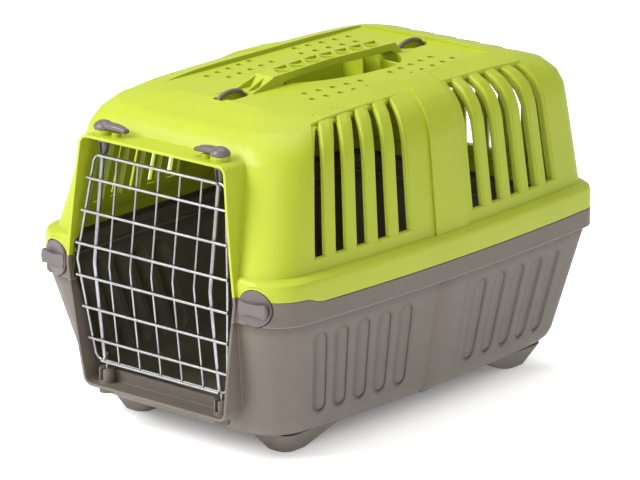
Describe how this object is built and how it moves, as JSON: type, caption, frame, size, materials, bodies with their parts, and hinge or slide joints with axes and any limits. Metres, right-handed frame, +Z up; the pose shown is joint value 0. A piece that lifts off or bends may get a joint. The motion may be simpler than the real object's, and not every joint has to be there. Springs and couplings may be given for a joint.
{
  "type": "pet carrier",
  "caption": "Small hard-shell animal carrier: ribbed tub on four feet, slotted domed lid with a carrying handle, bent wire door in a six-sided collar, turning locks and folding strap rings.",
  "frame": {"origin": "middle of the footprint, on the ground", "axes": "+Z up, -Y towards the door, +X to the right seen from the front"},
  "size_m": [0.367, 0.5314, 0.364],
  "materials": {
    "lime_plastic": "satin injection-moulded polypropylene, lime green",
    "taupe_plastic": "fine satin injection-moulded polypropylene, taupe",
    "mauve_plastic": "satin moulded plastic, grey with a purple tinge",
    "zinc_wire": "bright zinc-plated steel wire"
  },
  "bodies": {
    "bottom_shell": {"bottom_shell": "taupe_plastic"},
    "lid": {"top_shell": "lime_plastic"},
    "door": {"door_frame_wire": "zinc_wire", "cross_wire_1": "zinc_wire", "cross_wire_2": "zinc_wire", "cross_wire_3": "zinc_wire", "cross_wire_4": "zinc_wire", "cross_wire_5": "zinc_wire", "cross_wire_6": "zinc_wire", "cross_wire_7": "zinc_wire", "cross_wire_8": "zinc_wire", "upright_wire_1": "zinc_wire", "upright_wire_2": "zinc_wire", "upright_wire_3": "zinc_wire", "upright_wire_4": "zinc_wire", "upright_wire_5": "zinc_wire", "door_rod_left": "zinc_wire", "door_rod_right": "zinc_wire"},
    "knob_left": {"latch_knob_left": "mauve_plastic", "latch_cam_left": "mauve_plastic"},
    "lever_left": {"door_lever_left": "mauve_plastic", "lever_cup_left": "mauve_plastic"},
    "knob_right": {"latch_knob_right": "mauve_plastic", "latch_cam_right": "mauve_plastic"},
    "lever_right": {"door_lever_right": "mauve_plastic", "lever_cup_right": "mauve_plastic"},
    "ring_front": {"strap_ring_front": "mauve_plastic"},
    "ring_rear": {"strap_ring_rear": "mauve_plastic"}
  },
  "joints": [
    {"name": "lid_lift", "type": "slide", "parent": "bottom_shell", "child": "lid", "axis": [0, 0, 1], "range_m": [0, 0.2]},
    {"name": "door_swing", "type": "hinge", "parent": "bottom_shell", "child": "door", "pos_m": [-0.08, -0.24434, 0.18], "axis": [0, 0, -1], "range_deg": [0, 110]},
    {"name": "lever_left_turn", "type": "hinge", "parent": "lid", "child": "lever_left", "pos_m": [-0.08, -0.24434, 0.32], "axis": [0, 0, -1], "range_deg": [0, 90]},
    {"name": "knob_left_turn", "type": "hinge", "parent": "bottom_shell", "child": "knob_left", "pos_m": [-0.1377, -0.2578, 0.177], "axis": [-0.2419, -0.9703, 0], "range_deg": [0, 90]},
    {"name": "lever_right_turn", "type": "hinge", "parent": "lid", "child": "lever_right", "pos_m": [0.08, -0.24434, 0.32], "axis": [0, 0, 1], "range_deg": [0, 90]},
    {"name": "knob_right_turn", "type": "hinge", "parent": "bottom_shell", "child": "knob_right", "pos_m": [0.1377, -0.2578, 0.177], "axis": [0.2419, -0.9703, 0], "range_deg": [0, 90]},
    {"name": "ring_front_fold", "type": "hinge", "parent": "lid", "child": "ring_front", "pos_m": [0, -0.139, 0.3445], "axis": [0, 1, 0], "range_deg": [0, 70]},
    {"name": "ring_rear_fold", "type": "hinge", "parent": "lid", "child": "ring_rear", "pos_m": [0, 0.15, 0.3445], "axis": [0, 1, 0], "range_deg": [0, 70]}
  ]
}
